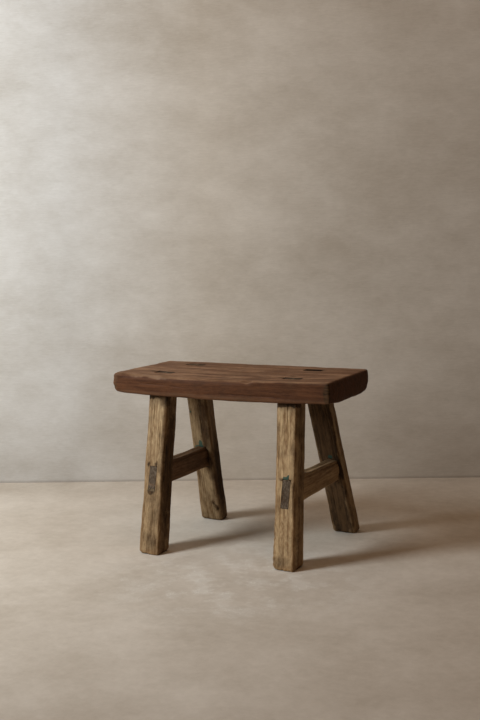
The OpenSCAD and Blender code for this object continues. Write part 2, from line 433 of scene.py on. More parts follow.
def grain_height(p, grain, seed):
    """Height of the weathered ridges at a point, about -1 to 1."""
    coarse = noise.noise(stretched(p, grain, 7 * MM) + Vector((seed, 0, 0)))
    fine = noise.noise(stretched(p, grain, 2.6 * MM) + Vector((0, seed, 0)))
    return 0.8 * coarse + 0.7 * fine


def falloff(p, centre, reach):
    """1 at a point given in millimetres, falling to 0 at its reach."""
    d = Vector([(c - m * MM) / (r * MM) for c, m, r in zip(p, centre, reach)]).length_squared
    return (1 - d) ** 2 if d < 1 else 0.0


def ragged(p):
    """A point moved a little at random, so that a mark round it (stains and painted shade, rubs and
    painted highlights, paint) gets a ragged edge.
    """
    return p + 4 * MM * noise.noise_vector(p * 60) + 1.6 * MM * noise.noise_vector(p * 240)


def split_depth(p, start, end, width):
    """1 on the line of a split, falling to 0 across its width and towards its ends."""
    a, b = Vector(start) * MM, Vector(end) * MM
    along = b - a
    t = max(0.0, min(1.0, (p - a).dot(along) / along.length_squared))
    wander = 0.7 * MM * noise.noise(p * 90)
    d = ((p - a - along * t).length + wander) / (width * MM)
    return max(0.0, 1 - d * d) * min(1.0, 5 * (1 - t)) if abs(d) < 1 else 0.0


def weather(bm, name, half, grain, seed, relief, radius_at):
    """Rounds a block's edges and gives it ridges, slow waves, chips and splits."""
    for v in bm.verts:
        raw = v.co.copy()
        p, out = eased(raw, half, radius_at(raw))
        wave = 0.5 * noise.noise(raw * 22 + Vector((seed, seed, 0)))
        wave += 0.22 * noise.noise(raw * 75 + Vector((0, seed, seed)))
        depth = relief * grain_height(raw, grain, seed) + wave * MM
        depth -= sum(deep * MM * falloff(raw, at, reach) for at, reach, deep in DENTS.get(name, ()))
        depth -= sum(deep * MM * split_depth(raw, a, b, wide) for a, b, wide, deep in SPLITS.get(name, ()))
        v.co = p + out * depth


def cap_beyond(bm, point, normal):
    """Cuts off what lies on the normal's side of a plane, and closes the cut."""
    geometry = bm.verts[:] + bm.edges[:] + bm.faces[:]
    cut = bmesh.ops.bisect_plane(bm, geom=geometry, plane_co=point, plane_no=normal, clear_outer=True)
    rim = [g for g in cut["geom_cut"] if isinstance(g, bmesh.types.BMEdge)]
    bmesh.ops.holes_fill(bm, edges=rim, sides=0)


def as_object(bm, name, place=Matrix.Identity(4), inside=0.0):
    """Turns a bmesh into an object whose place is in its mesh; inside is 1 on the walls of joints."""
    bmesh.ops.transform(bm, matrix=place, verts=bm.verts)
    bmesh.ops.recalc_face_normals(bm, faces=bm.faces)
    mesh = bpy.data.meshes.new(name)
    bm.to_mesh(mesh)
    bm.free()
    walls = mesh.attributes.new("inside", "FLOAT", "FACE")
    walls.data.foreach_set("value", [inside] * len(mesh.polygons))
    piece = bpy.data.objects.new(name, mesh)
    bpy.context.scene.collection.objects.link(piece)
    return piece


def cut_joints(piece, tools, operation):
    """Joins the tools to a piece or takes them out of it, and removes the tools."""
    for tool in tools:
        modifier = piece.modifiers.new("joint", "BOOLEAN")
        modifier.object = tool
        modifier.operation = operation
        modifier.solver = "EXACT"
    bpy.context.view_layer.update()
    finished = piece.evaluated_get(bpy.context.evaluated_depsgraph_get())
    mesh = bpy.data.meshes.new_from_object(finished)
    if len(mesh.polygons) < len(piece.data.polygons) / 2:
        raise RuntimeError("the joints of " + piece.name + " could not be cut")
    piece.modifiers.clear()
    piece.data = mesh
    mesh.name = piece.name
    for tool in tools:
        bpy.data.objects.remove(tool, do_unlink=True)


def mark_wood(piece, name, place, half, grain, seed):
    """Stores where each point lies in the tree, and its wear, stains and painted shade, pale rubs and
    painted highlights, paint and end grain.
    """
    mesh = piece.data
    inverse = place.inverted()
    turn = inverse.to_3x3()
    order = [axis for axis in range(3) if axis != grain] + [grain]
    lasting = {key: [] for key in ("worn", "stain", "rub", "paint", "ridge", "upward")}
    lie = []
    for v in mesh.vertices:
        p = inverse @ v.co
        lie.extend(p[axis] + seed * 0.31 for axis in order)
        depths = sorted(h - abs(c) for c, h in zip(p, half))
        lasting["worn"].append(1 - smooth(1 * MM, 8 * MM, depths[1]))
        q = ragged(p)
        for key, table in (("stain", STAINS_AND_PAINTED_SHADE), ("rub", RUBS_AND_HIGHLIGHTS), ("paint", PAINT)):
            spots = (falloff(q, at, reach) * strong for at, reach, strong in table.get(name, ()))
            lasting[key].append(min(1.5, sum(spots)))
        lasting["upward"].append(smooth(0.35, 0.95, v.normal.z))
        lasting["ridge"].append(grain_height(p, grain, seed))
    mesh.attributes.new("lie", "FLOAT_VECTOR", "POINT").data.foreach_set("vector", lie)
    for key, values in lasting.items():
        mesh.attributes.new(key, "FLOAT", "POINT").data.foreach_set("value", values)
    ends = [smooth(0.6, 0.85, abs((turn @ face.normal)[grain])) for face in mesh.polygons]
    mesh.attributes.new("end_grain", "FLOAT", "FACE").data.foreach_set("value", ends)
    mesh.shade_smooth()
    mesh.set_sharp_from_angle(angle=math.radians(45))


def place_piece(piece, node, finish):
    """Gives a finished piece its material and puts it in its CAD node's place."""
    piece.data.materials.append(finish)
    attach(piece, "root")
    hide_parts(node)


# ---------------------------------------------------------------- reading the frame


def cad_points(node):
    """The corners of a CAD node."""
    return [v.co.copy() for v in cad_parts[node].data.vertices]


def middle(points):
    """Middle of the box round some points."""
    return Vector([(min(p[a] for p in points) + max(p[a] for p in points)) / 2 for a in range(3)])


class Leg:
    """Where one leg stands: its frame has its origin at the shoulder and the leg along -Z."""

    def __init__(self, name):
        points = cad_points("leg_" + name)
        level = SEAT_LOW.z
        foot = middle([p for p in points if p.z < FLOOR + 0.1 * MM])
        shoulder = middle([p for p in points if abs(p.z - level) < 0.1 * MM])
        along = foot - shoulder
        back = -1 if foot.y < 0 else 1
        lean = math.atan2(along.y, math.hypot(along.x, along.z))
        cant = -math.atan2(along.x, -along.z)
        turn = Matrix.Rotation(cant, 4, "Y") @ Matrix.Rotation(lean, 4, "X")
        self.name = name
        self.place = Matrix.Translation(shoulder) @ turn
        self.length = along.length
        self.outward = (turn @ Vector((0, back, 0))).normalized()
        self.axis = (turn @ UP).normalized()
        local = [self.place.inverted() @ p for p in points]
        below = [p for p in local if p.z < -20 * MM]
        above = [p for p in local if p.z > 10 * MM]
        self.half = Vector([max(abs(p[a]) for p in below) for a in (0, 1)] + [self.length])
        self.tenon = Vector([max(abs(p[a]) for p in above) for a in (0, 1)])
        self.seed = 3.7 + 5.3 * LEGS.index(name)

    def face(self, out):
        """A point on the leg's outer (out = 1) or inner (out = -1) face."""
        return self.place.translation + self.outward * self.half.y * out


def seat_sag(wood, p):
    """How far the seat has sunk at a place: most at the middle of the front edge."""
    end, front = ((c - m) / h for c, m, h in zip(p, SEAT_MIDDLE, SEAT_HALF.xy))
    return wood.sag * (1 - end * end) * smooth(1, -1, front)


def tenon_top(wood, leg):
    """Height of the end of a leg's tenon in the seat."""
    return SEAT_HIGH.z - TENON_DEPTHS[leg.name] * MM - seat_sag(wood, leg.place.translation)


def tenon_in_leg(stretcher, leg):
    """Low and high corner of a stretcher's tenon where it comes out of a leg."""
    corners = cad_points("stretcher_" + stretcher)
    points = [p for p in corners if abs((p - leg.face(1)).dot(leg.outward)) < 0.3 * MM]
    low = Vector([min(p[a] for p in points) for a in range(3)])
    high = Vector([max(p[a] for p in points) for a in range(3)])
    return low, high


# ---------------------------------------------------------------- materials


def empty_group(name, inputs, outputs):
    """A node group with its input sockets (name and default) and output sockets (name and kind)."""
    group = bpy.data.node_groups.new(name, "ShaderNodeTree")
    for key, default in inputs.items():
        kind = "NodeSocketColor" if isinstance(default, tuple) else "NodeSocketFloat"
        made = group.interface.new_socket(key, in_out="INPUT", socket_type=kind)
        made.default_value = default
    for key, kind in outputs.items():
        group.interface.new_socket(key, in_out="OUTPUT", socket_type=kind)
    return group, node(group, "NodeGroupInput"), node(group, "NodeGroupOutput")


def node(tree, kind, inputs=None, **settings):
    """Adds a node and sets its named properties, and its inputs by name or number."""
    made = tree.nodes.new(kind)
    for key, value in settings.items():
        setattr(made, key, value)
    for key, value in (inputs or {}).items():
        made.inputs[key].default_value = value
    return made


def maths(tree, operation, a, b=None):
    """A Math node on two values or outputs."""
    made = node(tree, "ShaderNodeMath", operation=operation)
    for slot, value in zip(made.inputs, (a, b)):
        if isinstance(value, (int, float)):
            slot.default_value = value
        elif value is not None:
            tree.links.new(value, slot)
    return made.outputs[0]


def span(tree, value, low, high, to_low=0.0, to_high=1.0):
    """Carries a value from one range to another, held at the ends."""
    made = node(tree, "ShaderNodeMapRange", clamp=True,
                inputs={"From Min": low, "From Max": high, "To Min": to_low, "To Max": to_high})
    tree.links.new(value, made.inputs["Value"])
    return made.outputs["Result"]


def blend(tree, amount, a, b, mode="MIX"):
    """Mixes two colours by an amount."""
    made = node(tree, "ShaderNodeMix", data_type="RGBA", blend_type=mode)
    for slot, value in ((made.inputs["Factor"], amount), (made.inputs["A"], a), (made.inputs["B"], b)):
        if isinstance(value, bpy.types.NodeSocket):
            tree.links.new(value, slot)
        else:
            slot.default_value = value
    return made.outputs["Result"]


def mottle(tree, vector, scale, detail=3.0, rough=0.55):
    """A noise on a vector."""
    made = node(tree, "ShaderNodeTexNoise", inputs={"Scale": scale, "Detail": detail, "Roughness": rough})
    tree.links.new(vector, made.inputs["Vector"])
    return made.outputs["Fac"]


def stored(tree, name, output="Fac"):
    """An attribute stored on the piece."""
    return node(tree, "ShaderNodeAttribute", attribute_name=name).outputs[output]


def long_grain_group():
    """Pale and dark wood in long streaks, with growth bands, fibres and a height for bump."""
    name = "Long grain"
    if name in bpy.data.node_groups:
        return bpy.data.node_groups[name]
    group, given, result = empty_group(
        name,
        {"Pale": (0.5, 0.4, 0.3, 1), "Dark": (0.2, 0.1, 0.05, 1),
         "Band width": 1.0, "Fibre strength": 0.5},
        {"Color": "NodeSocketColor", "Height": "NodeSocketFloat"})
    links = group.links
    lie = stored(group, "lie", "Vector")
    drift = node(group, "ShaderNodeMapping", inputs={"Scale": (14, 14, 3)})
    links.new(lie, drift.inputs["Vector"])
    wander = node(group, "ShaderNodeTexNoise", inputs={"Scale": 1.0, "Detail": 2.0})
    links.new(drift.outputs[0], wander.inputs["Vector"])
    pull = node(group, "ShaderNodeVectorMath", operation="MULTIPLY_ADD",
                inputs={1: (0.012, 0.012, 0.0)})
    links.new(wander.outputs["Color"], pull.inputs[0])
    links.new(lie, pull.inputs[2])
    squeeze = node(group, "ShaderNodeMapping", inputs={"Scale": (1, 1, 0.045)})
    links.new(pull.outputs[0], squeeze.inputs["Vector"])
    long_way = squeeze.outputs[0]
    streak = mottle(group, long_way, 260, 5, 0.68)
    fibre = mottle(group, long_way, 760, 3, 0.7)
    hill = mottle(group, long_way, 26, 1.5, 0.4)
    rings = maths(group, "MULTIPLY", hill, 9.0)
    rings = maths(group, "DIVIDE", rings, given.outputs["Band width"])
    rings = maths(group, "PINGPONG", rings, 1.0)
    rings = span(group, rings, 0.0, 0.75)
    patch_lie = node(group, "ShaderNodeMapping", inputs={"Scale": (1, 1, 0.3)})
    links.new(pull.outputs[0], patch_lie.inputs["Vector"])
    patches = mottle(group, patch_lie.outputs[0], 55, 4, 0.6)
    flecks = mottle(group, patch_lie.outputs[0], 270, 4, 0.65)
    thread = maths(group, "SUBTRACT", fibre, 0.5)
    thread = maths(group, "MULTIPLY", thread, given.outputs["Fibre strength"])
    tone = maths(group, "MULTIPLY", streak, 1.25)
    tone = maths(group, "ADD", tone, maths(group, "MULTIPLY", rings, 0.1))
    tone = maths(group, "ADD", tone, maths(group, "MULTIPLY", patches, 0.7))
    tone = maths(group, "ADD", tone, maths(group, "MULTIPLY", flecks, 0.95))
    tone = maths(group, "ADD", maths(group, "SUBTRACT", tone, 1.0), thread)
    ridge = maths(group, "MULTIPLY", stored(group, "ridge"), 0.18)
    tone = span(group, maths(group, "ADD", tone, ridge), 0.2, 0.85)
    pores = span(group, mottle(group, long_way, 620, 4, 0.75), 0.36, 0.44)
    tone = maths(group, "MULTIPLY", tone, maths(group, "ADD", maths(group, "MULTIPLY", pores, 0.35), 0.65))
    links.new(blend(group, tone, given.outputs["Dark"], given.outputs["Pale"]), result.inputs["Color"])
    links.new(tone, result.inputs["Height"])
    return group


def wear_group():
    """Dust, worn pale edges and rubs with painted highlights, grime, end grain, dark stains with painted
    shade, and old paint over any wood.
    """
    name = "Wear and stains"
    if name in bpy.data.node_groups:
        return bpy.data.node_groups[name]
    group, given, result = empty_group(
        name,
        {"Wood": (0.5, 0.4, 0.3, 1), "Tone": 0.5,
         "Rubbed": (0.5, 0.4, 0.3, 1), "Rubbing": 0.4,
         "Dust": (0.2, 0.15, 0.1, 1), "Dustiness": 0.5,
         "Grime": (0.042, 0.022, 0.009, 1), "Griminess": 0.4,
         "End grain": (0.1, 0.07, 0.05, 1), "Paint": (0.03, 0.16, 0.13, 1)},
        {"Color": "NodeSocketColor", "Roughness": "NodeSocketFloat", "Height": "NodeSocketFloat"})
    links = group.links
    lie = stored(group, "lie", "Vector")
    clouds = mottle(group, lie, 38, 4, 0.6)
    specks = mottle(group, lie, 320, 4, 0.65)
    rough_edge = maths(group, "ADD", clouds, maths(group, "MULTIPLY", specks, 0.6))
    rough_edge = maths(group, "SUBTRACT", rough_edge, 0.8)
    # pale worn edges and rubs; on the seat's front edge the rub patches are also a painted highlight
    rubbed_and_highlit = maths(group, "ADD", stored(group, "worn"), maths(group, "MULTIPLY", rough_edge, 1.4))
    rubbed_and_highlit = maths(group, "MULTIPLY", span(group, rubbed_and_highlit, 0.35, 1.15), given.outputs["Rubbing"])
    rub_and_highlight_patch = maths(group, "ADD", stored(group, "rub"), maths(group, "MULTIPLY", rough_edge, 0.9))
    rub_and_highlight_patch = span(group, rub_and_highlight_patch, 0.15, 1.0, 0.0, 0.9)
    rubbed_and_highlit = maths(group, "MAXIMUM", rubbed_and_highlit, rub_and_highlight_patch)
    dusty = maths(group, "ADD", stored(group, "upward"), maths(group, "MULTIPLY", rough_edge, 0.9))
    dusty = maths(group, "MULTIPLY", span(group, dusty, 0.15, 1.1), given.outputs["Dustiness"])
    long_lie = node(group, "ShaderNodeMapping", inputs={"Scale": (1, 1, 0.12)})
    links.new(lie, long_lie.inputs["Vector"])
    bands = span(group, mottle(group, long_lie.outputs[0], 85, 3, 0.6), 0.38, 0.62, 0.3, 1.35)
    dusty = maths(group, "MULTIPLY", dusty, bands)
    dusty = maths(group, "MULTIPLY", dusty, span(group, given.outputs["Tone"], 0.1, 0.7, 0.5, 1.2))
    color = blend(group, dusty, given.outputs["Wood"], given.outputs["Dust"])
    color = blend(group, rubbed_and_highlit, color, given.outputs["Rubbed"])
    dirt = maths(group, "MULTIPLY", span(group, clouds, 0.5, 0.72), given.outputs["Griminess"])
    color = blend(group, dirt, color, given.outputs["Grime"])
    end_lie = node(group, "ShaderNodeMapping", inputs={"Scale": (1, 0.3, 1)})
    links.new(lie, end_lie.inputs["Vector"])
    pith = mottle(group, end_lie.outputs[0], 560, 4, 0.7)
    pith = span(group, pith, 0.42, 0.58, 0.85, 0.0)
    end = blend(group, pith, given.outputs["End grain"], given.outputs["Grime"])
    end = blend(group, rub_and_highlight_patch, end, given.outputs["Rubbed"])
    color = blend(group, stored(group, "end_grain"), color, end)
    # stains, with painted shade where the table darkens faces that lie in shadow
    stain = maths(group, "ADD", stored(group, "stain"), maths(group, "MULTIPLY", rough_edge, 0.7))
    stain = span(group, stain, 0.08, 0.95, 0.0, 0.93)
    tone = span(group, given.outputs["Tone"], 0.1, 0.75)
    shade = blend(group, tone, (0.5, 0.5, 0.5, 1), (1.9, 1.8, 1.7, 1))
    stain_and_shade_colour = blend(group, 1.0, given.outputs["Grime"], shade, "MULTIPLY")
    color = blend(group, stain, color, stain_and_shade_colour)
    inside = maths(group, "MULTIPLY", stored(group, "inside"), 0.9)
    color = blend(group, inside, color, (0.008, 0.006, 0.004, 1))
    paint = maths(group, "ADD", stored(group, "paint"), maths(group, "MULTIPLY", rough_edge, 1.1))
    paint = span(group, paint, 0.34, 0.5, 0.0, 0.9)
    color = blend(group, paint, color, given.outputs["Paint"])
    links.new(color, result.inputs["Color"])
    dull = maths(group, "ADD", maths(group, "MULTIPLY", stain, 0.1), maths(group, "MULTIPLY", specks, 0.2))
    dull = maths(group, "SUBTRACT", dull, maths(group, "MULTIPLY", rubbed_and_highlit, 0.22))
    links.new(maths(group, "ADD", dull, 0.55), result.inputs["Roughness"])
    links.new(maths(group, "ADD", specks, maths(group, "MULTIPLY", paint, 0.5)), result.inputs["Height"])
    return group


def rgba(color, times=1.0):
    """A colour setting as four numbers, made lighter or darker."""
    return (*[min(1.0, c * times) for c in color], 1.0)


def wood_material(name, grain, wear):
    """Old bare wood from the shared grain and wear groups, with its own colours and amounts."""
    material = bpy.data.materials.new(name)
    material.use_nodes = True
    tree = material.node_tree
    shader = tree.nodes["Principled BSDF"]
    grained = node(tree, "ShaderNodeGroup", node_tree=long_grain_group(), inputs=grain)
    worn = node(tree, "ShaderNodeGroup", node_tree=wear_group(), inputs=wear)
    tree.links.new(grained.outputs["Color"], worn.inputs["Wood"])
    tree.links.new(grained.outputs["Height"], worn.inputs["Tone"])
    tree.links.new(worn.outputs["Color"], shader.inputs["Base Color"])
    tree.links.new(worn.outputs["Roughness"], shader.inputs["Roughness"])
    specks = maths(tree, "MULTIPLY", worn.outputs["Height"], 0.35)
    height = maths(tree, "ADD", grained.outputs["Height"], specks)
    bump = node(tree, "ShaderNodeBump", inputs={"Strength": 0.5, "Distance": 0.5 * MM})
    tree.links.new(height, bump.inputs["Height"])
    tree.links.new(bump.outputs["Normal"], shader.inputs["Normal"])
    shader.inputs["Specular IOR Level"].default_value = 0.14
    return material


def seat_finish(wood):
    """Red-brown plank, dusty on top, worn paler on its edges with a painted highlight along the front
    edge, nearly black on its ends.
    """
    return wood_material(
        "seat plank",
        {"Pale": rgba(wood.seat_pale, 0.92), "Dark": rgba(wood.seat_dark, 0.85),
         "Band width": 1.6, "Fibre strength": 0.5},
        {"Rubbed": rgba(wood.seat_top, 0.85), "Rubbing": 0.25, "Griminess": 0.2,
         "Dust": rgba(wood.seat_top, 1.15), "Dustiness": 0.75,
         "End grain": rgba(wood.seat_dark, 1.75), "Paint": rgba(wood.paint)})


def leg_finish(wood, name, tone):
    """Weathered leg, more or less brown."""
    return wood_material(
        name,
        {"Pale": rgba(wood.leg_pale, tone), "Dark": rgba(wood.leg_dark, tone),
         "Band width": 1.0, "Fibre strength": 0.8},
        {"Rubbed": rgba(wood.leg_dark, 1.35 * tone), "Rubbing": 0.6, "Griminess": 0.3,
         "Dust": rgba(wood.leg_pale, 0.6), "Dustiness": 0.3,
         "End grain": rgba(wood.leg_dark, 0.6), "Paint": rgba(wood.paint)})


def stretcher_finish(wood, name):
    """Brown stretcher with dark grey-brown tenon ends; the left one's colours are darkened as painted
    shade.
    """
    pale = wood.left_pale_shaded if name == "left" else wood.right_pale
    dark = wood.left_dark_shaded if name == "left" else wood.right_dark
    return wood_material(
        name + " stretcher",
        {"Pale": rgba(pale), "Dark": rgba(dark), "Band width": 1.0, "Fibre strength": 0.5},
        {"Rubbed": rgba(pale, 1.25), "Rubbing": 0.4, "Griminess": 0.35,
         "Dust": rgba(pale, 1.1), "Dustiness": 0.45,
         "End grain": rgba(wood.tenon_end, 1.25), "Paint": rgba(wood.paint)})


def wedge_finish(wood, name, tone):
    """Split wedge, with the end of its grain showing."""
    pale = rgba(wood.leg_pale, tone)
    return wood_material(
        name,
        {"Pale": pale, "Dark": rgba(wood.leg_dark, tone), "Band width": 1.0, "Fibre strength": 0.55},
        {"Rubbed": pale, "Rubbing": 0.5, "Griminess": 0.3, "Dust": pale, "Dustiness": 0.3,
         "End grain": pale, "Paint": rgba(wood.paint)})


def plaster_base(name, color, rough):
    """A plaster material, its object coordinates and its clouded colour, not yet linked to the shader."""
    material = bpy.data.materials.new(name)
    material.use_nodes = True
    tree = material.node_tree
    shader = tree.nodes["Principled BSDF"]
    shader.inputs["Roughness"].default_value = rough
    shader.inputs["Specular IOR Level"].default_value = 0.15
    place = node(tree, "ShaderNodeTexCoord").outputs["Object"]
    flat = node(tree, "ShaderNodeMapping", inputs={"Scale": (1, 1, 1.8)})
    tree.links.new(place, flat.inputs["Vector"])
    clouds = mottle(tree, flat.outputs[0], 4.2, 10, 0.7)
    weave = node(tree, "ShaderNodeMapping", inputs={"Scale": (1, 1, 7)})
    tree.links.new(place, weave.inputs["Vector"])
    grit = mottle(tree, weave.outputs[0], 60, 6, 0.75)
    clouds = maths(tree, "MULTIPLY", clouds, 0.72)
    amount = maths(tree, "ADD", clouds, maths(tree, "MULTIPLY", grit, 0.28))
    worn = rgba([c * t for c, t in zip(color, (0.82, 0.785, 0.74))])
    return material, place, blend(tree, span(tree, amount, 0.36, 0.64), worn, rgba(color, 1.12))


def floor_material(color):
    """Clouded plaster floor with chalky scuffs in front of the stool."""
    material, place, mixed = plaster_base("plaster floor", color, 0.75)
    tree = material.node_tree
    worm = mottle(tree, place, 34, 4, 0.7)
    worm = maths(tree, "ABSOLUTE", maths(tree, "SUBTRACT", worm, 0.5))
    marks = span(tree, worm, 0.004, 0.02, 1.0, 0.0)
    broken = span(tree, mottle(tree, place, 19, 4, 0.65), 0.47, 0.6)
    offset = node(tree, "ShaderNodeVectorMath", operation="DISTANCE", inputs={1: (0.1, -0.2, 0.0)})
    tree.links.new(place, offset.inputs[0])
    near = span(tree, offset.outputs["Value"], 0.08, 0.26, 1.0, 0.0)
    chalk = maths(tree, "MULTIPLY", maths(tree, "MULTIPLY", marks, broken), near)
    haze = maths(tree, "MULTIPLY", maths(tree, "MULTIPLY", broken, near), 0.4)
    chalk = maths(tree, "MULTIPLY", maths(tree, "MAXIMUM", chalk, haze), 0.75)
    mixed = blend(tree, chalk, mixed, (0.82, 0.79, 0.72, 1.0))
    tree.links.new(mixed, tree.nodes["Principled BSDF"].inputs["Base Color"])
    return material


def wall_material(color):
    """Clouded plaster wall, with painted cool light at its left, darker just above the floor, and a
    painted shadow line where it meets the floor.
    """
    material, place, mixed = plaster_base("plaster wall", color, 0.9)
    tree = material.node_tree
    parts = node(tree, "ShaderNodeSeparateXYZ")
    tree.links.new(place, parts.inputs[0])
    # painted cool light: the left of the wall is tinted paler and cooler
    painted_cool_light = span(tree, parts.outputs["X"], -0.28, -0.55)
    mixed = blend(tree, painted_cool_light, mixed, (0.97, 1.035, 1.13, 1.0), "MULTIPLY")
    # darker towards the floor, and a thin dark band at the very bottom that is a painted shadow where the
    # wall meets the floor
    low_darkening = span(tree, parts.outputs["Z"], 0.0, 0.32, 0.09, 0.0)
    edge = span(tree, parts.outputs["Z"], 0.0, 0.006, 0.4, 0.0)
    mixed = blend(tree, maths(tree, "ADD", low_darkening, edge), mixed, (0.16, 0.11, 0.075, 1.0))
    tree.links.new(mixed, tree.nodes["Principled BSDF"].inputs["Base Color"])
    return material


def see_through_from_behind(material):
    """Lets the backdrop be seen through from its back, for views from behind the stool."""
    tree = material.node_tree
    out = tree.nodes["Material Output"]
    clear = node(tree, "ShaderNodeBsdfTransparent")
    mix = node(tree, "ShaderNodeMixShader")
    facing = node(tree, "ShaderNodeNewGeometry")
    tree.links.new(facing.outputs["Backfacing"], mix.inputs[0])
    tree.links.new(tree.nodes["Principled BSDF"].outputs[0], mix.inputs[1])
    tree.links.new(clear.outputs[0], mix.inputs[2])
    tree.links.new(mix.outputs[0], out.inputs["Surface"])


# ---------------------------------------------------------------- the pieces


def seat_radius(wood, p, half):
    """Edge radius at a place on the seat: widest on the handled stretch of the front edge."""
    front, end, top = -p.y / half.y, p.x / half.x, p.z / half.z
    uneven = 0.3 * noise.noise(p * 16) + 0.25 * noise.noise(p * 60)
    radius = wood.seat_easing * (1 + uneven * (1 - 0.7 * smooth(0.9, 1.0, end)))
    radius *= 1 - 0.6 * smooth(0.9, 0.97, end) * smooth(0.7, 0.9, front) * smooth(0.0, 0.6, -top)
    handled = smooth(0.2, 0.8, front) * smooth(0.0, 0.6, top) * (1 - smooth(0.03, 0.075, p.x))
    radius += (wood.handled_easing - radius) * handled * smooth(0.99, 0.86, -end)
    radius += 5 * MM * smooth(0.9, 0.98, -end) * smooth(0.0, 0.5, -top)
    radius += 3.5 * MM * smooth(0.93, 0.99, -end) * smooth(0.8, 0.95, front) * smooth(-0.2, 0.6, top)
    return radius + 6 * MM * smooth(0.88, 0.98, end) * smooth(0.6, 0.95, -front) * smooth(0.0, 0.5, -top)


def settle(wood, p, half):
    """Bends a point of the squared seat into the worn plank: sagging, out of square, thick at one end."""
    front, end, low = -p.y / half.y, p.x / half.x, (1 - p.z / half.z) / 2
    left, right = max(0.0, -end), max(0.0, end)
    p.z -= seat_sag(wood, SEAT_MIDDLE + p)
    # the underside hangs lower at the right end, and a little along the middle of the front
    p.z -= 4.5 * MM * low * smooth(0.74, 0.92, right) * smooth(1.0, 0.35, front)
    p.z -= 1.2 * MM * low * (1 - end * end) * smooth(0.0, 1.0, front)
    # both ends run askew, and the right one bulges at half its height
    p.x += left * MM * (1.7 - 2.0 * front - 4.0 * smooth(0.6, 1.0, front))
    p.x += right * MM * (-0.6 + 1.7 * front + 4 * low * (1 - low))
    p.y += 1.2 * MM * noise.noise(Vector((p.x * 7, 3.1 * math.copysign(1, p.y), 0)))


def mortise_cutter(leg, wood, half):
    """The hole for a leg's tenon, hand-chopped a little wide."""
    length = 2.4 * half.z / leg.axis.z
    along, across = leg.tenon.x + 2.5 * wood.gap, leg.tenon.y + wood.gap
    bm = block((2 * along, 2 * across, length), (14, 8, 14))
    for v in bm.verts:
        v.co += 0.5 * MM * noise.noise_vector(v.co * 120 + Vector((leg.seed, 0, 0)))
        v.co.z += half.z / leg.axis.z
    return as_object(bm, "mortise", leg.place, inside=1.0)


def build_seat(wood):
    """The plank with its four slanting mortises."""
    place = Matrix.Translation(SEAT_MIDDLE)
    seed = 1.3
    bm = timber(2 * SEAT_HALF, 0, wood.grid)
    weather(bm, "seat", SEAT_HALF, 0, seed, wood.relief, lambda p: seat_radius(wood, p, SEAT_HALF))
    for v in bm.verts:
        settle(wood, v.co, SEAT_HALF)
    seat = as_object(bm, "seat_plank", place)
    cut_joints(seat, [mortise_cutter(Leg(name), wood, SEAT_HALF) for name in LEGS], "DIFFERENCE")
    mark_wood(seat, "seat", place, SEAT_HALF, 0, seed)
    place_piece(seat, "seat", seat_finish(wood))


def leg_radius(wood, leg, p):
    """Edge radius at a place on a leg, a little uneven along it, and larger on two of its edges."""
    corner = Vector((math.copysign(1, p.x), math.copysign(1, p.y), p.z * 18 + leg.seed))
    radius = wood.leg_easing * (1 + 0.4 * noise.noise(corner) + 0.2 * noise.noise(p * 70))
    return radius + (2.4 * MM if corner.x == corner.y else 0.0)


def chop_marks(leg, p):
    """Slanting tool marks low on the front right leg's front face."""
    if leg.name != "front_right" or p.y > 0:
        return 0.0
    strength = smooth(-0.17, -0.2, p.z) * (0.6 + noise.noise(p * 60))
    phase = 620 * (0.8 * p.x + p.z) + 3 * noise.noise(p * 90)
    return 0.6 * MM * strength * math.sin(phase)


def leg_bar(leg, wood):
    """The leg below its shoulder, cut level at the floor and at the seat."""
    above = 12 * MM
    size = Vector((2 * leg.half.x, 2 * leg.half.y, leg.length + above))
    half = size / 2
    bm = timber(size, 2, wood.grid)
    bmesh.ops.translate(bm, vec=(0, 0, half.z - leg.length), verts=bm.verts)
    centre = Vector((0, 0, half.z - leg.length))
    rise = leg.place.to_3x3().row[2]
    for v in bm.verts:
        raw = v.co.copy()
        p, out = eased(raw - centre, half, leg_radius(wood, leg, raw))
        wave = 0.55 * noise.noise(raw * 24 + Vector((leg.seed, 0, 0))) + 0.25 * noise.noise(raw * 80)
        depth = 1.3 * wood.relief * grain_height(raw, 2, leg.seed) + wave * MM + chop_marks(leg, raw)
        depth -= sum(deep * MM * falloff(raw, at, reach) for at, reach, deep in DENTS[leg.name])
        depth -= sum(deep * MM * split_depth(raw, a, b, wide) for a, b, wide, deep in SPLITS[leg.name])
        v.co = p + centre + out * depth
        v.co.x *= 1 + 0.05 * smooth(-0.14, -0.26, raw.z)  # a little wider towards the foot
        v.co.z -= (rise.x * raw.x + rise.y * raw.y) / rise.z * smooth(0.0, 1.0, -raw.z / leg.length)
    bmesh.ops.transform(bm, matrix=leg.place, verts=bm.verts)
    for v in bm.verts:
        v.co.z = max(v.co.z, FLOOR)
    cap_beyond(bm, (0, 0, SEAT_LOW.z - 1.2 * MM - seat_sag(wood, leg.place.translation)), UP)
    return as_object(bm, "leg_" + leg.name + "_bar")


def leg_tenon(leg, wood):
    """The tenon that stands on the leg's shoulder."""
    length, root = 60 * MM, 12 * MM
    size = Vector((2 * leg.tenon.x, 2 * leg.tenon.y, length))
    bm = timber(size, 2, 2 * wood.grid)
    for v in bm.verts:
        raw = v.co.copy()
        p, out = eased(raw, size / 2, 1.2 * MM)
        v.co = p + out * 0.3 * MM * noise.noise(raw * 110 + Vector((0, leg.seed, 0)))
        v.co.z += length / 2 - root
    bmesh.ops.transform(bm, matrix=leg.place, verts=bm.verts)
    cap_beyond(bm, (0, 0, tenon_top(wood, leg)), UP)
    return as_object(bm, "tenon")


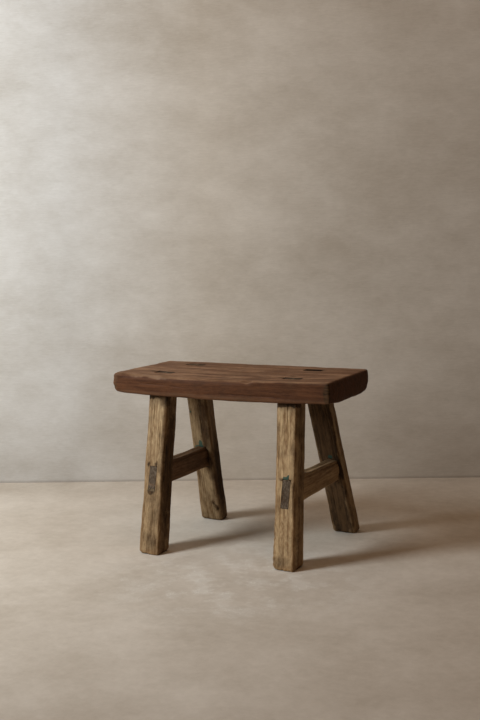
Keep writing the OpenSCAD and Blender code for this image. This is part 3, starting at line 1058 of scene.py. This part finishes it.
def seat_wedge_block(leg, slack):
    """The wedge in a leg's tenon, thick end up."""
    points = [leg.place.inverted() @ p for p in cad_points("seat_wedge_" + leg.name)]
    low, high = (pick(p.z for p in points) for pick in (min, max))
    head = max(abs(p.x) for p in points if p.z > high - 2 * MM) + slack
    tip = max(abs(p.x) for p in points if p.z < low + 2 * MM) + slack
    above = 6 * MM
    bm = block((2, 2 * (leg.tenon.y + slack), high - low + above), (4, 8, 14))
    for v in bm.verts:
        t = v.co.z / (high - low + above) + 0.5
        v.co.x *= tip + (head - tip) * t
        v.co.z += (low + high + above) / 2
        v.co += 0.2 * MM * noise.noise_vector(v.co * 150 + Vector((0, 0, leg.seed)))
    bmesh.ops.transform(bm, matrix=leg.place, verts=bm.verts)
    return bm


def stretcher_mortise(stretcher, leg, wood):
    """The hole through a leg for a stretcher's tenon."""
    low, high = tenon_in_leg(stretcher, leg)
    through = 90 * MM
    size = high - low + Vector((2, 0, 2)) * wood.gap
    size.y = through
    bm = block(size, (6, 20, 14))
    for v in bm.verts:
        v.co += 0.35 * MM * noise.noise_vector(v.co * 130 + Vector((leg.seed, 2, 0)))
    turn = Matrix.Rotation(stretcher_turn(stretcher), 4, "Z")
    return as_object(bm, "mortise", Matrix.Translation((low + high) / 2) @ turn, inside=1.0)


def stretcher_wedge_block(leg, slack, stop):
    """The wedge under the left stretcher's tenon, thick end outward, going stop further in."""
    points = cad_points("stretcher_wedge_" + leg.name)
    out = math.copysign(1, leg.outward.y)
    across = middle(points).x
    width = max(abs(p.x - across) for p in points)
    top = max(p.z for p in points)
    outer = max(out * p.y for p in points)
    inner = min(out * p.y for p in points)
    head = top - min(p.z for p in points)
    tip = top - min(p.z for p in points if out * p.y < inner + 1 * MM)
    inner -= stop
    beyond = 10 * MM
    bm = block((1, 1, 1), (6, 14, 4))
    for v in bm.verts:
        along = v.co.y + 0.5
        x = across + 2 * (width + slack) * v.co.x
        thick = tip + (head - tip) * along + slack
        y = out * (inner + (outer + beyond - inner) * along)
        v.co = Vector((x, y, top + slack + thick * (v.co.z - 0.5)))
        v.co += 0.25 * MM * noise.noise_vector(v.co * 140)
    return bm


def build_leg(name, wood):
    """One leg with its seat tenon, its mortise and the cut for its wedge."""
    leg = Leg(name)
    side = name.split("_")[1]
    piece = leg_bar(leg, wood)
    piece.name = "leg_" + name + "_wood"
    cut_joints(piece, [leg_tenon(leg, wood)], "UNION")
    kerf = as_object(seat_wedge_block(leg, slack=0.05 * MM), "kerf", inside=1.0)
    cutters = [stretcher_mortise(side, leg, wood), kerf]
    if "stretcher_wedge_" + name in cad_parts:
        slot = stretcher_wedge_block(leg, slack=0.3 * MM, stop=12 * MM)
        cutters.append(as_object(slot, "slot", inside=1.0))
    cut_joints(piece, cutters, "DIFFERENCE")
    mark_wood(piece, name, leg.place, leg.half, 2, leg.seed)
    finish = leg_finish(wood, "leg " + name.replace("_", " "), LEG_TONES[name])
    place_piece(piece, "leg_" + name, finish)


def stretcher_ends(name):
    """Middle and half height of a stretcher's tenon at its front leg and at its back leg."""
    ends = []
    for leg in (Leg("front_" + name), Leg("back_" + name)):
        low, high = tenon_in_leg(name, leg)
        ends.append(((low + high) / 2, (high - low) / 2))
    return ends


def stretcher_turn(name):
    """How far a stretcher is turned from the Y axis, seen from above."""
    (front, _), (back, _) = stretcher_ends(name)
    return -math.atan2(back.x - front.x, back.y - front.y)


def hewn(p, half, easing):
    """Edge radius at a place on a stretcher, wide on the upper edge towards +X."""
    radius = easing * (1 + 0.35 * noise.noise(p * 30))
    return radius + 2.6 * MM * smooth(0, 0.8, p.x / half.x) * smooth(0, 0.8, p.z / half.z)


def stretcher_bar(name, half, ends, wood, easing, seed):
    """A stretcher-shaped bar through the middles of its two tenons, as deep as they are."""
    bm = timber(2 * half, 1, wood.grid)
    weather(bm, name, half, 1, seed, wood.relief, lambda p: hewn(p, half, easing))
    (front, low), (back, high) = ends
    middle_y = (front.y + back.y) / 2
    for v in bm.verts:
        t = (middle_y + v.co.y - front.y) / (back.y - front.y)
        line = front.lerp(back, t)
        across, up = v.co.x / half.x, v.co.z / half.z
        slope = SLOPES[name] * MM * across * smooth(0.2, 1.0, up)
        v.co.z = line.z + up * (low.z + (high.z - low.z) * t) - slope
        v.co.x += line.x
        v.co.y += middle_y
    return bm


def build_stretcher(name, wood):
    """One stretcher, shouldered against its legs, with a tenon through each."""
    legs = [Leg("front_" + name), Leg("back_" + name)]
    ends = stretcher_ends(name)
    (front, low), (back, high) = ends
    seed = 31.0 + 9 * SIDES.index(name)
    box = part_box("stretcher_" + name)
    width = box[1].x - box[0].x - abs(back.x - front.x)
    spare = 6 * MM
    half = Vector((width / 2, (back.y - front.y) / 2 + spare, (low.z + high.z) / 2))
    bm = stretcher_bar(name, half, ends, wood, wood.stretcher_easing, seed)
    for leg in legs:
        cap_beyond(bm, leg.face(-1), leg.outward)
    piece = as_object(bm, "stretcher_" + name + "_wood")
    tenon_half, tenon_easing = Vector((low.x, half.y, half.z)), 0.8 * MM
    bm = stretcher_bar("tenon", tenon_half, ends, wood, tenon_easing, seed)
    for leg in legs:
        cap_beyond(bm, leg.face(1), leg.outward)
    cut_joints(piece, [as_object(bm, "tenon")], "UNION")
    place = Matrix.Translation((front + back) / 2) @ Matrix.Rotation(stretcher_turn(name), 4, "Z")
    mark_wood(piece, name, place, half, 1, seed)
    place_piece(piece, "stretcher_" + name, stretcher_finish(wood, name))


def build_seat_wedge(name, wood):
    """The wedge driven into one leg's tenon from above."""
    leg = Leg(name)
    bm = seat_wedge_block(leg, slack=0)
    cap_beyond(bm, (0, 0, tenon_top(wood, leg) + 0.2 * MM), UP)
    piece = as_object(bm, "seat_wedge_" + name + "_wood")
    mark_wood(piece, "wedge", leg.place, leg.half, 2, leg.seed)
    place_piece(piece, "seat_wedge_" + name, wedge_finish(wood, "seat wedge", 0.45))


def build_stretcher_wedge(name, wood):
    """The wedge driven in under the left stretcher's tenon."""
    leg = Leg(name)
    bm = stretcher_wedge_block(leg, slack=0, stop=0)
    cap_beyond(bm, leg.face(1), leg.outward)
    piece = as_object(bm, "stretcher_wedge_" + name + "_wood")
    place = Matrix.Translation(middle(cad_points("stretcher_wedge_" + name)))
    mark_wood(piece, "wedge", place, leg.half, 1, leg.seed)
    finish = wedge_finish(wood, "stretcher wedge", 0.3)
    place_piece(piece, "stretcher_wedge_" + name, finish)


# ---------------------------------------------------------------- the studio


def plane(name, place, finish):
    """A wide flat sheet, marked as part of the stage."""
    size = 12.0
    bm = bmesh.new()
    bmesh.ops.create_grid(bm, x_segments=1, y_segments=1, size=size / 2)
    bmesh.ops.transform(bm, matrix=place, verts=bm.verts)
    mesh = bpy.data.meshes.new(name)
    bm.to_mesh(mesh)
    bm.free()
    sheet = bpy.data.objects.new(name, mesh)
    mesh.materials.append(finish)
    bpy.context.scene.collection.objects.link(sheet)


def area_light(name, at, aim, width, height, power, color):
    """A rectangular soft light at a place, turned towards a point."""
    data = bpy.data.lights.new(name, "AREA")
    data.shape = "RECTANGLE"
    data.size = width
    data.size_y = height
    data.energy = power
    data.color = color
    lamp = bpy.data.objects.new(name, data)
    lamp.location = at
    lamp.rotation_mode = "QUATERNION"
    lamp.rotation_quaternion = (Vector(aim) - Vector(at)).to_track_quat("-Z", "Y")
    lamp.visible_camera = False
    bpy.context.scene.collection.objects.link(lamp)


def build_backdrop(studio):
    """The floor and the backdrop that meets it behind the stool."""
    plane("studio_floor", Matrix.Translation((0, 0, FLOOR)), floor_material(studio.plaster))
    turn = Matrix.Rotation(studio.wall_turn, 4, "Z")
    upright = Matrix.Rotation(math.radians(90), 4, "X")
    wall = turn @ Matrix.Translation((0, studio.wall_distance, 0)) @ upright
    finish = wall_material([1.03 * c for c in studio.plaster])
    see_through_from_behind(finish)
    plane("studio_backdrop", wall, finish)


def build_lights(studio):
    """A tall soft light at the front left, a wide warm one overhead, and weak light elsewhere."""
    cool, cream, warm = (0.88, 0.95, 1.0), (1.0, 0.93, 0.84), (1.0, 0.62, 0.36)
    area_light("key", (-0.86, -0.97, 0.99), (-0.5, 0.26, 0.17), 0.42, 0.95, studio.key_power, cool)
    area_light("back", (0.6, 2.2, 1.2), (0, 0, 0.18), 1.0, 1.0, studio.back_power, cream)
    area_light("fill", (0.3, -0.5, 2.3), (0.2, -0.1, 0), 1.8, 1.8, studio.fill_power, warm)
    world = bpy.data.worlds.new("even light")
    world.use_nodes = True
    background = world.node_tree.nodes["Background"]
    background.inputs["Color"].default_value = (1.0, 0.58, 0.27, 1.0)
    background.inputs["Strength"].default_value = studio.ambient
    bpy.context.scene.world = world


def build_camera(studio):
    """The camera, low and to the right, leaning a little."""
    a, e, r = studio.azimuth, studio.elevation, studio.roll
    back = Vector((math.sin(a) * math.cos(e), -math.cos(a) * math.cos(e), math.sin(e)))
    right = (-back).cross(UP).normalized()
    up = right.cross(-back)
    tilted_right = right * math.cos(r) + up * math.sin(r)
    tilted_up = up * math.cos(r) - right * math.sin(r)
    aside = 1.35 * MM
    aim = Vector((0, SEAT_MIDDLE.y, SEAT_HIGH.z + studio.aim_height)) - right * aside
    data = bpy.data.cameras.new("camera")
    data.lens = studio.lens
    data.sensor_width = 36
    data.clip_start = 0.05
    camera = bpy.data.objects.new("camera", data)
    axes = Matrix((tilted_right, tilted_up, back)).transposed()
    camera.matrix_world = Matrix.Translation(aim + back * studio.distance) @ axes.to_4x4()
    bpy.context.scene.collection.objects.link(camera)
    bpy.context.scene.camera = camera


# ---------------------------------------------------------------- operators and panel


class STOOL_OT_seat(bpy.types.Operator):
    """Build the seat plank"""

    bl_idname = "stool.seat"
    bl_label = "Seat"

    def execute(self, context):
        build_seat(context.scene.stool_wood)
        return {"FINISHED"}


class STOOL_OT_legs(bpy.types.Operator):
    """Build the four legs"""

    bl_idname = "stool.legs"
    bl_label = "Legs"

    def execute(self, context):
        for name in LEGS:
            build_leg(name, context.scene.stool_wood)
        return {"FINISHED"}


class STOOL_OT_stretchers(bpy.types.Operator):
    """Build the two stretchers"""

    bl_idname = "stool.stretchers"
    bl_label = "Stretchers"

    def execute(self, context):
        for name in SIDES:
            build_stretcher(name, context.scene.stool_wood)
        return {"FINISHED"}


class STOOL_OT_wedges(bpy.types.Operator):
    """Build the wedges that lock the joints"""

    bl_idname = "stool.wedges"
    bl_label = "Wedges"

    def execute(self, context):
        for name in LEGS:
            build_seat_wedge(name, context.scene.stool_wood)
        for name in ("front_left", "back_left"):
            build_stretcher_wedge(name, context.scene.stool_wood)
        return {"FINISHED"}


class STOOL_OT_studio(bpy.types.Operator):
    """Build the floor, backdrop, lights and camera"""

    bl_idname = "stool.studio"
    bl_label = "Studio"

    def execute(self, context):
        studio = context.scene.stool_studio
        build_camera(studio)
        build_backdrop(studio)
        build_lights(studio)
        context.scene.view_settings.view_transform = "Standard"
        return {"FINISHED"}


class STOOL_PT_parts(bpy.types.Panel):
    """Lists the stool's settings and the operators that build it"""

    bl_label = "Old Plank Stool"
    bl_idname = "STOOL_PT_parts"
    bl_space_type = "VIEW_3D"
    bl_region_type = "UI"
    bl_category = "Stool"

    def draw(self, context):
        for settings in (context.scene.stool_wood, context.scene.stool_studio):
            column = self.layout.column()
            for key in settings.bl_rna.properties.keys():
                if key not in ("rna_type", "name"):
                    column.prop(settings, key)
        for operator in OPERATORS:
            self.layout.operator(operator.bl_idname)


OPERATORS = (STOOL_OT_studio, STOOL_OT_seat, STOOL_OT_legs, STOOL_OT_stretchers, STOOL_OT_wedges)
CLASSES = (StoolWood, StoolStudio, *OPERATORS, STOOL_PT_parts)


def register():
    for cls in CLASSES:
        bpy.utils.register_class(cls)
    bpy.types.Scene.stool_wood = PointerProperty(type=StoolWood)
    bpy.types.Scene.stool_studio = PointerProperty(type=StoolStudio)


def unregister():
    del bpy.types.Scene.stool_studio
    del bpy.types.Scene.stool_wood
    for cls in reversed(CLASSES):
        bpy.utils.unregister_class(cls)


def main():
    register()
    bpy.ops.stool.studio()
    bpy.ops.stool.seat()
    bpy.ops.stool.legs()
    bpy.ops.stool.stretchers()
    bpy.ops.stool.wedges()


if __name__ == "__main__":
    main()
